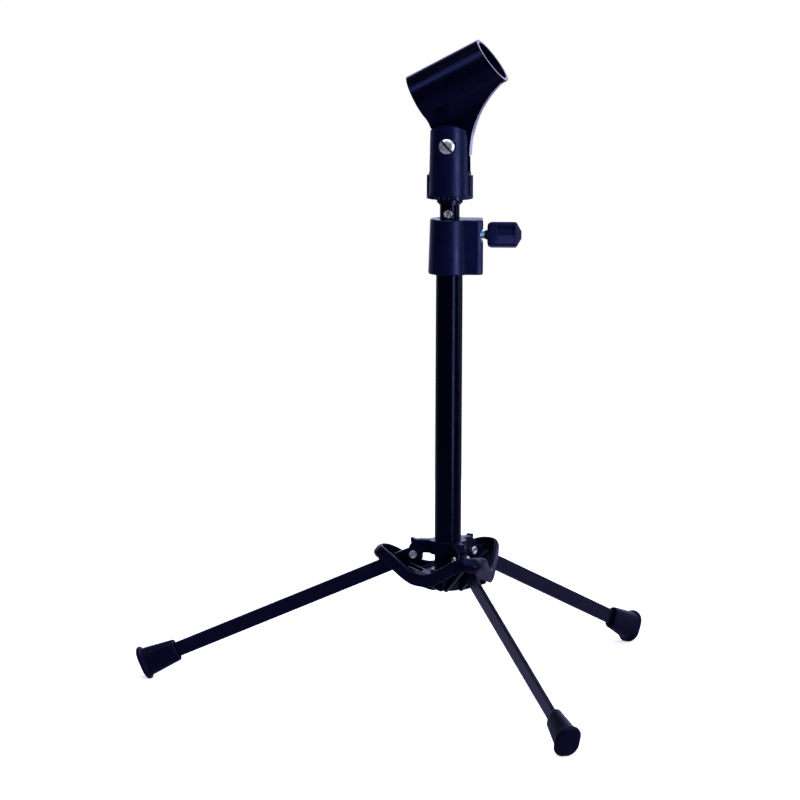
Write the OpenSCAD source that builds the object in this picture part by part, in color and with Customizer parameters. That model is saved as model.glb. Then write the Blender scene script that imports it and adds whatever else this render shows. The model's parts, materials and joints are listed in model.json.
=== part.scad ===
// Desktop microphone stand: folding tripod, telescopic mast and tilting clip.
// The origin is on the mast axis at floor level, +Z is up, and the clamp knob points along +X.
// Every leg is drawn opened out, the mast is at its lowest, and the clip is tilted as in use.

/* [Mast] */
// Outside diameter of the fixed lower tube
outer_tube_d = 16; // [15.6:0.1:16.4]
// Outside diameter of the sliding upper tube
inner_tube_d = 12; // [11.8:0.1:12.1]
// Wall thickness of both tubes
tube_wall = 1; // [0.8:0.1:1]
// Height of the top end of the fixed tube
outer_tube_top = 270.5; // [266:0.5:271]
// Height of the top end of the sliding tube
inner_tube_top = 297; // [296:0.5:297]
// Length of the sliding tube
inner_tube_length = 200; // [180:5:200]

/* [Legs] */
// Direction of the right leg, measured from +X
leg_turn = 51.4; // [30:0.2:70]
// Slope of the opened legs below the horizontal
leg_slope = 23.9; // [23:0.1:25]
// Distance of the leg pivots from the mast axis
pivot_r = 20.7; // [20:0.1:21]
// Height of the leg pivots
pivot_z = 83.6; // [83:0.1:84]
// Height of the flat bar that a leg is made of
bar_h = 9; // [8:0.1:9]
// Thickness of the flat bar
bar_t = 2.5; // [2:0.1:2.5]
// Distance from the pivot to the end face of a foot
leg_reach = 185; // [180:0.5:190]

/* [Leg spider] */
// Distance from the mast axis to the outer face of a lobe
lobe_reach = 46; // [43:0.5:46]
// Radius of a lobe, seen from above
lobe_r = 8.9; // [8:0.1:9]
// Wall thickness of the band
band_wall = 2.4; // [2:0.1:2.6]

/* [Clamp] */
// Height of the lower face of the clamp
clamp_bottom = 255.2; // [250:0.1:256]
// Height of the upper face of the clamp
clamp_top = 288.3; // [288:0.1:289]
// Distance from the mast axis to the outer face of the boss
boss_reach = 20.1; // [19.6:0.1:21]
// Height of the clamp screw
knob_z = 278.7; // [276:0.1:280]

/* [Clip] */
// Turn of the clip about the mast, clockwise seen from above
clip_yaw = 10; // [0:1:30]
// Height of the tilt pivot
tilt_z = 332.5; // [332:0.1:333]
// Slope of the microphone socket above the horizontal
socket_slope = 28.2; // [24:0.1:30]
// Outside radius of the microphone socket
socket_r = 15; // [14.8:0.1:15.4]
// Inside radius of the microphone socket
socket_bore_r = 12.9; // [12.6:0.1:13]

/* [Hidden] */
$fn = 96;
slack = 0.05;                        // radial clearance of a running fit
cut = 1;                             // how far a cutter runs past a face
outer_r = outer_tube_d / 2;
inner_r = inner_tube_d / 2;
outer_bore_r = outer_r - tube_wall;
inner_bore_r = inner_r - tube_wall;
leg_angles = [leg_turn + 120, leg_turn + 240, leg_turn];

// hub under the mast
hub_bottom = 62.6;
hub_seat_z = 65.4;                   // underside of the wall that the hub screw clamps
tube_bottom = 67.8;
hub_sleeve_top = 75;
hub_sleeve_r = 10.4;
hub_screw_r = 2;
hub_recess_r = 5.6;
plug_top = 82;

// leg collar
collar_bottom = 84.7;
collar_top = 92.9;
collar_r = 11.3;
arm_half_w = 3.5;
arm_end = 22.6;
cheek_r = 5.2;
leg_gap = 0.2;                       // between a bar and each cheek
leg_swing_r = bar_h / 2 + 0.5;
pin_r = 1.25;
pin_head_r = 2.4;
pin_head_h = 1.4;
set_screw_r = 1.5;

// leg spider, in the plane of a leg
lobe_x = lobe_reach - lobe_r;        // centre of a lobe
side_r = lobe_x / 2 + lobe_r;        // distance of the straight sides from the mast axis
rim_low = 75;
rim_high = 88.5;
edge_low = 67.6;
edge_high = 80.8;
floor_t = 2.3;
lip = 0.8;                           // height of the band's lower edge below the floor
rim_curl = 3.6;                      // how far the band leans in over the end of a lobe
edge_curl = 2.2;
side_steps = 9;
lobe_steps = 16;
web_t = 1.7;
web_y = 4;                           // half the width of the slot that a bar swings in
web_end = 39.6;
stop_start = 40.1;
stop_end = 42.1;
stop_half_w = 3.2;
stop_gap = 0.25;                     // between an opened bar and its stop
rib_t = 1.4;

// feet, along a leg
foot_length = 24.3;
bead_t = 3;
bead_half_h = 10.6;
bead_half_w = 7.8;
foot_end_half_h = 8.9;
foot_end_half_w = 6.4;
foot_neck_half_h = 6.8;
foot_neck_half_w = 4;
bar_end = leg_reach - 5;

// clamp and knob
clamp_r_top = 11.8;
clamp_r_bottom = 12.8;
boss_half_w = 8.7;
boss_round = 2.9;
boss_notch_r = 4.1;                  // half-round notch across the boss, round the screw
boss_notch_depth = 2;
clamp_bore_top_r = inner_r + 0.3;
bush_length = 14;
slider_bush_length = 16;
slider_lip = 2;                      // part of the bush below the end of the sliding tube
screw_r = 2.45;
insert_r = 4;
insert_start = 9.2;
boss_recess = 2;
pad_r = 2.3;
pad_start = inner_r + slack;
pad_end = 8.5;
knob_start = 23;
knob_shoulder = 24.8;
knob_end = 40;
knob_tip = 43.2;
knob_half_h = 6.8;
knob_half_w = 6.4;
knob_rest_turn = -12;                // how far the handle is turned about its screw
recess_depth = 1.6;                  // finger recesses in the front and back of the knob
recess_gap = 4.2;                    // from the knob's shoulder to the recesses
recess_rim = 1.2;                    // from the recesses to the knob's end
recess_top = knob_half_h - 3.4;
recess_bottom = 2.2 - knob_half_h;

// head of the mast
stud_r = 4.76;
stud_screw_z = 291.6;
stud_screw_r = 1.5;
stud_screw_turn = -9;
step_nut_r = 7.9;
nut_top = 300.5;
ring_top = 302.7;
ring_r = 14;
ring_teeth = 28;
yoke_bottom = 302.85;
stud_top = 312.8;
insert_top = 313.2;
yoke_r_bottom = 12.9;
yoke_r_top = 12.3;
rib_top = 314.5;
slot_bottom = 316.3;
slot_half_w = 5.2;
ear_top = 345;
ear_arc_r = 19;
yoke_insert_r = 7.9;
neck_half_w = 4.7;
neck_r = 11.5;
shoulder_r = 14.7;                   // clearance cut round the ears
tilt_pin_r = 2.45;
tilt_head_r = 4.8;
tilt_seat = 10.6;                    // from the mast axis to the seat of the screw head
tilt_nut_seat = 7.9;
tilt_nut_h = 3.2;
tilt_nut_r = 4.6;
washer_t = 0.4;

// microphone socket, measured from the tilt pivot
socket_x = 2.6;
socket_z = 39;
socket_back = -25;
socket_front_high = 23.3;
socket_front_low = 28.2;
flare_x = 72.6;
flare_z = -5.9;
flare_r = 60.1;
flare_end = 131;                     // where the flare's arc meets the mouth, in degrees
back_x = -10.5;                      // corner in the back of the neck
back_z = 9.3;
waist_half_w = 5.5;                  // half the width of the clip just above the neck
waist_blend_r = 16;
blend_bite = 0.05;                   // overlap that joins the blend to the socket

// ---- shapes that repeat ----

// Ring of rectangular section about the Z axis
module ring(r_out, r_in, z_low, z_high)
    translate([0, 0, z_low])
    difference() {
        cylinder(r = r_out, h = z_high - z_low);
        translate([0, 0, -cut])
        cylinder(r = r_in, h = z_high - z_low + 2 * cut);
    }

// Cylinder along +X from x_low to x_high
module bar_x(r, x_low, x_high)
    translate([x_low, 0, 0])
    rotate([0, 90, 0])
    cylinder(r = r, h = x_high - x_low);

// Cylinder along +Y from y_low to y_high
module bar_y(r, y_low, y_high)
    translate([0, y_low, 0])
    rotate([-90, 0, 0])
    cylinder(r = r, h = y_high - y_low);

// Outline drawn in X and Z, made into a plate that is half_w thick to each side of Y = 0
module side_plate(half_w)
    rotate([90, 0, 0])
    linear_extrude(2 * half_w, center = true)
    children();

// Pan head screw along -Y with its head's seat at y = 0 and a straight driver slot
module slotted_screw(shank_r, head_r, head_h, shank, slot_w, slot_turn)
    difference() {
        union() {
            bar_y(shank_r, -0.01, shank);
            rotate([90, 0, 0])
            rotate_extrude()
            polygon([[0, 0], [head_r, 0], [head_r, head_h * 0.45],
                     [head_r * 0.8, head_h * 0.85], [head_r * 0.45, head_h], [0, head_h]]);
        }
        rotate([0, slot_turn, 0])
        translate([-head_r - cut, -head_h - cut, -slot_w / 2])
        cube([2 * head_r + 2 * cut, cut + head_h * 0.5, slot_w]);
    }

// Hexagon nut along +Y with its near face at y = 0
module hex_nut(across_r, bore_r, nut_h)
    difference() {
        rotate([-90, 0, 0])
        cylinder(r = across_r, h = nut_h, $fn = 6);
        bar_y(bore_r, -cut, nut_h + cut);
    }

// Places its children once in each leg's direction
module each_leg()
    for (a = leg_angles)
        rotate([0, 0, a])
        children();

// Moves its children to a leg's pivot and lays +X along the leg
module along_leg()
    translate([pivot_r, 0, pivot_z])
    rotate([0, leg_slope, 0])
    children();

// ---- mast ----

module outer_tube()
    color("#15151d")
    ring(outer_r, outer_bore_r, tube_bottom, outer_tube_top);

module inner_tube()
    color("#121219")
    difference() {
        ring(inner_r, inner_bore_r, inner_tube_top - inner_tube_length, inner_tube_top);
        translate([0, 0, stud_screw_z])
        rotate([0, 0, stud_screw_turn])
        bar_y(stud_screw_r, -inner_r - cut, 0);
    }

// Moulded bush on the lower end of the sliding tube
module slider_bush()
    color("#2b2b30")
    translate([0, 0, inner_tube_top - inner_tube_length])
    difference() {
        ring(outer_bore_r - slack, inner_bore_r, -slider_lip, slider_bush_length - slider_lip);
        cylinder(r = inner_r + slack, h = slider_bush_length);
    }

// Threaded end piece in the top of the sliding tube
module mast_stud()
    color("#8d8f96")
    difference() {
        union() {
            translate([0, 0, inner_tube_top])
            cylinder(r = stud_r, h = stud_top - 1 - inner_tube_top);
            translate([0, 0, stud_top - 1])
            cylinder(r1 = stud_r, r2 = stud_r - 1, h = 1);
            translate([0, 0, inner_tube_top - 14])
            cylinder(r = inner_bore_r - slack, h = 14.01);
        }
        translate([0, 0, stud_screw_z])
        rotate([0, 0, stud_screw_turn])
        bar_y(stud_screw_r + slack, -inner_r, -1);
    }

// Screw that holds the end piece in the sliding tube
module stud_screw()
    color("#c9cad0")
    translate([0, 0, stud_screw_z])
    rotate([0, 0, stud_screw_turn])
    translate([0, -inner_r - 0.1, 0])
    slotted_screw(stud_screw_r - slack, 2.6, 1.2, 4.5, 0.7, 20);

module step_nut()
    color("#1b1b22")
    difference() {
        union() {
            ring(step_nut_r - 1, stud_r + slack, inner_tube_top + 0.1, inner_tube_top + 1.1);
            ring(step_nut_r, stud_r + slack, inner_tube_top + 1.1, nut_top);
        }
        for (i = [0 : 11])
            rotate([0, 0, i * 30])
            translate([step_nut_r, 0, inner_tube_top + 1.3])
            cylinder(r = 0.45, h = 3);
    }

module lock_ring()
    color("#1b1b22")
    difference() {
        ring(ring_r, stud_r + slack, nut_top + 0.15, ring_top);
        for (i = [0 : ring_teeth - 1])
            rotate([0, 0, i * 360 / ring_teeth])
            translate([ring_r + 0.15, 0, nut_top - cut])
            cylinder(r = 0.75, h = 5);
    }

// ---- hub ----

module tube_plug()
    color("#2b2b30")
    ring(outer_bore_r - slack, hub_screw_r + slack, tube_bottom + 0.1, plug_top);

module hub_washer()
    color("#b9bac0")
    ring(5.2, hub_screw_r + 0.15, hub_seat_z - 0.8, hub_seat_z);

module hub_screw()
    color("#c9cad0")
    translate([0, 0, hub_seat_z - 0.8])
    rotate([90, 0, 0])
    slotted_screw(hub_screw_r, 4, 1.9, 15, 1, 30);

function smooth(t) = let (u = min(1, max(0, t))) u * u * (3 - 2 * u);
function rim_z(x) = rim_low + (rim_high - rim_low) * smooth((x - 13.5) / 30);
function edge_z(x) = edge_low + (edge_high - edge_low) * smooth((x - 16) / 29);
function bar_top(x) = pivot_z - (x - pivot_r) * tan(leg_slope) + bar_h / 2 / cos(leg_slope);

// A third of the band's plan, in the frame of its lobe: [x, y, direction of the outward normal].
// It runs from the middle of one straight side, round the lobe, to just before the next middle.
function plan_third() =
    let (half_side = lobe_x * sin(60))
    concat([for (i = [0 : side_steps - 1]) let (t = half_side * i / side_steps)
                [side_r * cos(60) + t * sin(60), -side_r * sin(60) + t * cos(60), -60]],
           [for (i = [0 : lobe_steps]) let (a = -60 + 120 * i / lobe_steps)
                [lobe_x + lobe_r * cos(a), lobe_r * sin(a), a]],
           [for (i = [side_steps - 1 : -1 : 1]) let (t = half_side * i / side_steps)
                [side_r * cos(60) + t * sin(60), side_r * sin(60) - t * cos(60), 60]]);

// Point that lies the distance inset inside a point of the plan, at height z, turned by a leg's angle
function inside(p, inset, z, turn) =
    let (x = p[0] - inset * cos(p[2]), y = p[1] - inset * sin(p[2]))
    [x * cos(turn) - y * sin(turn), x * sin(turn) + y * cos(turn), z];

// Section of the band and the floor at a point of the plan
function spider_section(p, turn) =
    let (curl = smooth((p[0] - lobe_x + 1) / lobe_r),
         rim = rim_z(p[0]),
         edge = edge_z(p[0]),
         around = atan2(p[1], p[0]) + turn,
         hub_r = hub_sleeve_r - 1)
    [inside(p, edge_curl * curl, edge, turn),
     inside(p, 0, edge + 0.45 * (rim - edge), turn),
     inside(p, rim_curl * curl, rim, turn),
     inside(p, rim_curl * curl + band_wall, rim, turn),
     inside(p, band_wall, edge + lip + floor_t, turn),
     [hub_r * cos(around), hub_r * sin(around), edge_low + lip + floor_t],
     [hub_r * cos(around), hub_r * sin(around), edge_low + lip],
     inside(p, edge_curl * curl + band_wall, edge + lip, turn)];

// Wavy band that rises over every leg, with the floor inside it
module spider_band() {
    third = plan_third();
    sections = [for (k = [0 : 2]) for (p = third) spider_section(p, leg_turn + 120 * k)];
    n = len(sections);
    m = len(sections[0]);
    corners = [for (section = sections) for (corner = section) corner];
    faces = [for (i = [0 : n - 1]) for (j = [0 : m - 1]) for (half = [0, 1])
                 let (a = i * m + j, b = i * m + (j + 1) % m,
                      c = ((i + 1) % n) * m + (j + 1) % m, d = ((i + 1) % n) * m + j)
                 half == 0 ? [a, b, c] : [a, c, d]];
    polyhedron(corners, faces);
}

// Walls of the slots that the bars swing in, and the stops under the ends of the lobes
module spider_webs()
    each_leg() {
        for (s = [-1, 1])
            translate([0, s * (web_y + web_t / 2), 0])
            side_plate(web_t / 2)
            polygon([[8, hub_bottom], [11, hub_bottom], [web_end, edge_high], [web_end, edge_high + 2.2],
                     [8, edge_low + 1.8]]);
        side_plate(stop_half_w)
        polygon([[stop_start, bar_top(stop_start) + stop_gap], [stop_end, bar_top(stop_end) + stop_gap],
                 [stop_end, edge_high + 1.6], [stop_start, edge_high + 1.6]]);
    }

// Ribs under the floor, from the hub to the straight sides of the band
module spider_ribs()
    for (a = leg_angles)
        for (b = [44, 76])
            rotate([0, 0, a + b])
            side_plate(rib_t / 2)
            polygon([[8, hub_bottom], [11, hub_bottom], [side_r - 2, edge_low + 0.2],
                     [side_r - 2, edge_low + 1.5], [8, edge_low + 2]]);

// Moulded spider that the legs fold down through
module leg_spider()
    color("#1c1c28")
    difference() {
        union() {
            spider_band();
            spider_webs();
            spider_ribs();
            translate([0, 0, hub_bottom])
            cylinder(r1 = 9, r2 = 14.6, h = edge_low - hub_bottom + 2);
            translate([0, 0, hub_bottom + 3])
            cylinder(r = hub_sleeve_r, h = hub_sleeve_top - hub_bottom - 3);
        }
        translate([0, 0, tube_bottom - 0.1])
        cylinder(r = outer_r + slack, h = 60);
        translate([0, 0, hub_seat_z - cut])
        cylinder(r = hub_screw_r + 0.15, h = 10);
        translate([0, 0, hub_bottom - cut])
        cylinder(r = hub_recess_r, h = hub_seat_z - hub_bottom + cut);
        each_leg()
        side_plate(web_y)
        polygon([[15.4, 40], [50, 40], [50, bar_top(50) + stop_gap], [15.4, bar_top(15.4) + stop_gap]]);
    }

// Side outline of an arm of the collar, with the round cheek about the pivot
module collar_arm() {
    polygon([[outer_r + 1, collar_bottom], [outer_r + 1, collar_top],
             [arm_end - 1.4, collar_top], [arm_end - 1.2, collar_top + 0.6],
             [arm_end, collar_top + 0.6], [arm_end, collar_top - 2.6],
             [pivot_r + cheek_r * 0.94, pivot_z + cheek_r * 0.34],
             [pivot_r, collar_bottom]]);
    translate([pivot_r, pivot_z])
    circle(r = cheek_r);
}

// Section of an arm, with its upper edges bevelled
module arm_section()
    rotate([90, 0, 90])
    linear_extrude(60)
    polygon([[-5, 60], [5, 60], [5, collar_top - 3.9], [1.9, collar_top + 0.7],
             [-1.9, collar_top + 0.7], [-5, collar_top - 3.9]]);

// Collar on the tube with three forks that hold the legs
module leg_collar()
    color("#1e1e29")
    difference() {
        union() {
            ring(collar_r, outer_r + slack, collar_bottom, collar_top);
            each_leg() {
                intersection() {
                    side_plate(arm_half_w)
                    collar_arm();
                    arm_section();
                }
            }
        }
        each_leg() {
            translate([pivot_r, 0, pivot_z]) {
                bar_y(leg_swing_r, -bar_t / 2 - leg_gap, bar_t / 2 + leg_gap);
                bar_y(pin_r + slack, -9, 9);
                translate([0, -bar_t / 2 - leg_gap, -12])
                cube([12, bar_t + 2 * leg_gap, 12 + leg_swing_r]);
                translate([-leg_swing_r, -bar_t / 2 - leg_gap, -12])
                cube([12, bar_t + 2 * leg_gap, 12]);
            }
            rotate([0, 0, 60])
            translate([0, 0, (collar_bottom + collar_top) / 2])
            bar_x(set_screw_r + slack, 0, 20);
        }
        cylinder(r = outer_r + slack, h = 200);
    }

// Three socket set screws that lock the collar on the tube
module collar_set_screws()
    color("#3a3a40")
    each_leg()
    rotate([0, 0, 60])
    translate([0, 0, (collar_bottom + collar_top) / 2])
    difference() {
        bar_x(set_screw_r, outer_r + 0.1, collar_r - 0.3);
        rotate([0, 90, 0])
        translate([0, 0, collar_r - 1.3])
        cylinder(r = 0.8, h = 3, $fn = 6);
    }

// Goes to the outside of a cheek at every leg, turned so that its head side is -Y there
module each_pivot()
    for (k = [0 : 2])
        rotate([0, 0, leg_angles[k]])
        translate([pivot_r, 0, pivot_z])
        rotate([0, 0, k == 0 ? 180 : 0])
        children();

module leg_pivot_screws()
    color("#c9cad0")
    each_pivot()
    translate([0, -arm_half_w, 0])
    slotted_screw(pin_r, pin_head_r, pin_head_h, 2 * arm_half_w + 2.2, 0.6, 35);

module leg_pivot_nuts()
    color("#c9cad0")
    each_pivot()
    translate([0, arm_half_w, 0])
    hex_nut(2.6, pin_r + slack, 1.8);

// ---- legs ----

module leg_bar(k)
    color("#1a1a22")
    rotate([0, 0, leg_angles[k]])
    along_leg()
    side_plate(bar_t / 2)
    difference() {
        union() {
            circle(r = bar_h / 2);
            translate([0, -bar_h / 2])
            square([bar_end, bar_h]);
        }
        circle(r = pin_r + slack);
    }

// Outline with round ends, seen along the leg
module oblong(half_w, half_h)
    union() {
        for (s = [-1, 1])
            translate([s * (half_h - half_w), 0])
            circle(r = half_w);
        square([2 * (half_h - half_w), 2 * half_w], center = true);
    }

// Slice of a foot at distance s along the leg
module foot_slice(s, half_w, half_h, t)
    translate([s, 0, 0])
    rotate([0, 90, 0])
    linear_extrude(t)
    oblong(half_w, half_h);

module foot(k)
    color("#17171f")
    rotate([0, 0, leg_angles[k]])
    difference() {
        along_leg()
        difference() {
            union() {
                hull($fn = 32) {
                    foot_slice(leg_reach - foot_length, foot_neck_half_w, foot_neck_half_h, 0.5);
                    foot_slice(leg_reach - bead_t - 0.5, foot_end_half_w, foot_end_half_h, 0.5);
                }
                foot_slice(leg_reach - bead_t - 0.1, bead_half_w, bead_half_h, bead_t - 0.6);
                hull($fn = 32) {
                    foot_slice(leg_reach - 0.8, bead_half_w, bead_half_h, 0.1);
                    foot_slice(leg_reach - 0.1, bead_half_w - 1, bead_half_h - 1, 0.1);
                }
            }
            translate([leg_reach - foot_length - cut, -bar_t / 2 - 0.02, -bar_h / 2 - 0.02])
            cube([foot_length - 5 + cut + 0.05, bar_t + 0.04, bar_h + 0.04]);
        }
        translate([0, -50, -20])
        cube([300, 100, 20]);
    }

module leg_left() leg_bar(0);
module leg_front() leg_bar(1);
module leg_right() leg_bar(2);
module foot_left() foot(0);
module foot_front() foot(1);
module foot_right() foot(2);

// ---- clamp ----

// Plan of the boss, with its two outer corners rounded
module clamp_plan() {
    translate([0, -boss_half_w])
    square([boss_reach - boss_round, 2 * boss_half_w]);
    translate([0, -boss_half_w + boss_round])
    square([boss_reach, 2 * (boss_half_w - boss_round)]);
    for (s = [-1, 1])
        translate([boss_reach - boss_round, s * (boss_half_w - boss_round)])
        circle(r = boss_round);
}

module clamp_collar()
    color("#20202c")
    difference() {
        union() {
            translate([0, 0, clamp_bottom])
            cylinder(r1 = clamp_r_bottom, r2 = clamp_r_top, h = clamp_top - clamp_bottom);
            translate([0, 0, clamp_bottom])
            linear_extrude(clamp_top - clamp_bottom)
            clamp_plan();
        }
        translate([0, 0, clamp_bottom - cut])
        cylinder(r = outer_r + slack, h = outer_tube_top - clamp_bottom + cut + 0.1);
        translate([0, 0, clamp_bottom])
        cylinder(r = clamp_bore_top_r, h = 60);
        translate([0, 0, knob_z]) {
            bar_x(pad_r + 0.2, 0, boss_reach + cut);
            bar_x(insert_r, insert_start, boss_reach + cut);
            translate([boss_reach + boss_notch_r - boss_notch_depth, 0, 0])
            bar_y(boss_notch_r, -20, 20);
        }
    }

// Bush in the mouth of the fixed tube
module guide_bush()
    color("#d8d8dc")
    ring(outer_bore_r, inner_r + slack, outer_tube_top - bush_length, outer_tube_top);

// Threaded insert for the clamp screw
module clamp_insert()
    color("#b08a45")
    translate([0, 0, knob_z])
    difference() {
        bar_x(insert_r, insert_start, boss_reach - boss_recess);
        bar_x(screw_r + slack, 0, boss_reach + cut);
    }

// Nylon pad that presses on the sliding tube
module pressure_pad()
    color("#d8d8dc")
    translate([0, 0, knob_z])
    bar_x(pad_r, pad_start, pad_end);

module knob_screw()
    color("#3d6db5")
    translate([0, 0, knob_z])
    bar_x(screw_r, pad_end + slack, knob_end - 6);

// Handle moulded on the clamp screw
module knob_handle()
    color("#1f1f2b")
    translate([0, 0, knob_z])
    rotate([knob_rest_turn, 0, 0])
    difference() {
        union() {
            translate([knob_start, 0, 0])
            rotate([0, 90, 0])
            cylinder(r1 = 5.2, r2 = 6.3, h = knob_shoulder - knob_start + 0.01);
            translate([knob_shoulder, -knob_half_w, -knob_half_h])
            cube([knob_end - knob_shoulder, 2 * knob_half_w, 2 * knob_half_h]);
            hull() {
                translate([knob_end - 0.01, -knob_half_w, -knob_half_h])
                cube([0.01, 2 * knob_half_w, 2 * knob_half_h]);
                translate([knob_end + 1.9, -knob_half_w * 0.6, -knob_half_h * 0.6])
                cube([0.01, 2 * knob_half_w * 0.6, 2 * knob_half_h * 0.6]);
            }
            bar_x(2.8, knob_end, knob_tip);
        }
        for (turn = [0, 180])
            rotate([turn, 0, 0])
            translate([knob_shoulder + recess_gap, 0, 0])
            rotate([90, 0, 90])
            linear_extrude(knob_end - knob_shoulder - recess_gap - recess_rim)
            polygon([[-knob_half_w - cut, recess_top], [-knob_half_w + recess_depth, recess_top - 0.5],
                     [-knob_half_w + recess_depth, -recess_rim], [-knob_half_w - cut, recess_bottom]]);
        bar_x(screw_r, 0, knob_end - 6);
    }

// ---- clip ----

// Turns its children about the mast and lifts them to the tilt pivot
module at_clip(z)
    translate([0, 0, z])
    rotate([0, 0, -clip_yaw])
    children();

module clip_yoke()
    color("#22222e")
    at_clip(0)
    difference() {
        intersection() {
            union() {
                translate([0, 0, yoke_bottom])
                cylinder(r1 = yoke_r_bottom, r2 = yoke_r_top, h = ear_top - yoke_bottom);
                for (side = [0, 180])
                    for (i = [-1 : 1])
                        rotate([0, 0, side + i * 13])
                        translate([yoke_r_bottom + 0.2, 0, yoke_bottom])
                        cylinder(r = 0.8, h = rib_top - yoke_bottom);
            }
            side_plate(30)
            union() {
                translate([-20, yoke_bottom])
                square([40, tilt_z - yoke_bottom]);
                intersection() {
                    translate([-20, yoke_bottom])
                    square([40, 60]);
                    translate([0, ear_top - ear_arc_r])
                    circle(r = ear_arc_r);
                }
            }
        }
        translate([-20, -slot_half_w, slot_bottom])
        cube([40, 2 * slot_half_w, 40]);
        translate([0, 0, yoke_bottom - cut])
        cylinder(r = yoke_insert_r, h = insert_top - yoke_bottom + cut + 0.3);
        translate([0, 0, tilt_z]) {
            bar_y(tilt_pin_r + slack, -20, 20);
            bar_y(tilt_head_r + 0.6, -20, -tilt_seat);
            translate([0, tilt_nut_seat, 0])
            rotate([-90, 0, 0])
            cylinder(r = tilt_nut_r + 0.1, h = 10, $fn = 6);
        }
    }

module yoke_insert()
    color("#b08a45")
    ring(yoke_insert_r, stud_r + slack, yoke_bottom, insert_top);

module tilt_screw()
    color("#d2d3d8")
    at_clip(tilt_z)
    translate([0, -tilt_seat, 0])
    slotted_screw(tilt_pin_r, tilt_head_r, 2.2, tilt_seat + tilt_nut_seat + tilt_nut_h + 0.3,
                  0.9, 42);

module tilt_nut()
    color("#c9cad0")
    at_clip(tilt_z)
    translate([0, tilt_nut_seat, 0])
    hex_nut(tilt_nut_r, tilt_pin_r + slack, tilt_nut_h);

// Two friction washers between the ears and the neck
module tilt_washers()
    color("#d8d8dc")
    at_clip(tilt_z)
    for (s = [-1, 1])
        translate([0, s * (slot_half_w - washer_t / 2), 0])
        difference() {
            bar_y(6, -washer_t / 2, washer_t / 2);
            bar_y(tilt_pin_r + slack, -washer_t, washer_t);
        }

// Lays +X along the axis of the socket, from its middle
module along_socket()
    translate([socket_x, 0, socket_z])
    rotate([0, -socket_slope, 0])
    children();

// Points on an arc about [x, z], from angle a to angle b
function arc(x, z, r, a, b, steps) =
    [for (i = [0 : steps]) let (t = a + (b - a) * i / steps) [x + r * cos(t), z + r * sin(t)]];

// Point at distance along the socket's axis and height above it, as seen from the side
function on_socket(along, above) =
    [socket_x + along * cos(socket_slope) - above * sin(socket_slope),
     socket_z + along * sin(socket_slope) + above * cos(socket_slope)];

// Side outline of the neck, from inside the barrel down round the tilt pivot
module neck_outline()
    polygon(concat([on_socket(socket_back + 0.1, -2), on_socket(socket_back + 0.1, -socket_r - 0.3),
                    [back_x, back_z]],
                   arc(0, 0, neck_r, 155, 318, 24),
                   arc(flare_x, flare_z, flare_r, 180, flare_end, 20),
                   [on_socket(socket_front_high - 1, -2)]));

// Section of the neck across the socket: it runs smoothly out of the barrel
module neck_section() {
    reach = socket_r + waist_blend_r - blend_bite;
    blend_y = waist_half_w + waist_blend_r;
    blend_n = sqrt(reach * reach - blend_y * blend_y);
    low = -60;
    polygon(concat(arc(blend_y, -blend_n, waist_blend_r, 180 - atan(blend_n / blend_y), 180, 14),
                   [[waist_half_w, low], [-waist_half_w, low]],
                   arc(-blend_y, -blend_n, waist_blend_r, 0, atan(blend_n / blend_y), 14)));
}

module mic_clip()
    color("#1b1b26")
    at_clip(tilt_z)
    difference() {
        union() {
            along_socket()
            difference() {
                bar_x(socket_r, socket_back, socket_front_low);
                translate([(socket_front_high + socket_front_low) / 2, 0, 0])
                rotate([0, -atan((socket_front_low - socket_front_high) / (2 * socket_r)), 0])
                translate([0, -40, -40])
                cube([40, 80, 80]);
            }
            intersection() {
                side_plate(socket_r + cut)
                neck_outline();
                along_socket()
                rotate([90, 0, 90])
                translate([0, 0, -60])
                linear_extrude(120)
                neck_section();
            }
        }
        along_socket()
        bar_x(socket_bore_r, socket_back - cut, socket_front_low + cut);
        for (s = [-1, 1])
            translate([0, s * (neck_half_w + 10), 0])
            bar_y(shoulder_r, -10, 10);
        bar_y(tilt_pin_r + slack, -20, 20);
    }

outer_tube();
tube_plug();
leg_spider();
hub_washer();
hub_screw();
leg_collar();
collar_set_screws();
leg_pivot_screws();
leg_pivot_nuts();
leg_left();
leg_front();
leg_right();
foot_left();
foot_front();
foot_right();
clamp_collar();
guide_bush();
clamp_insert();
pressure_pad();
knob_screw();
knob_handle();
inner_tube();
slider_bush();
mast_stud();
stud_screw();
step_nut();
lock_ring();
clip_yoke();
yoke_insert();
tilt_screw();
tilt_nut();
tilt_washers();
mic_clip();
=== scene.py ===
import json
import math

import bmesh
import bpy
from mathutils import Matrix, Vector


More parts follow.
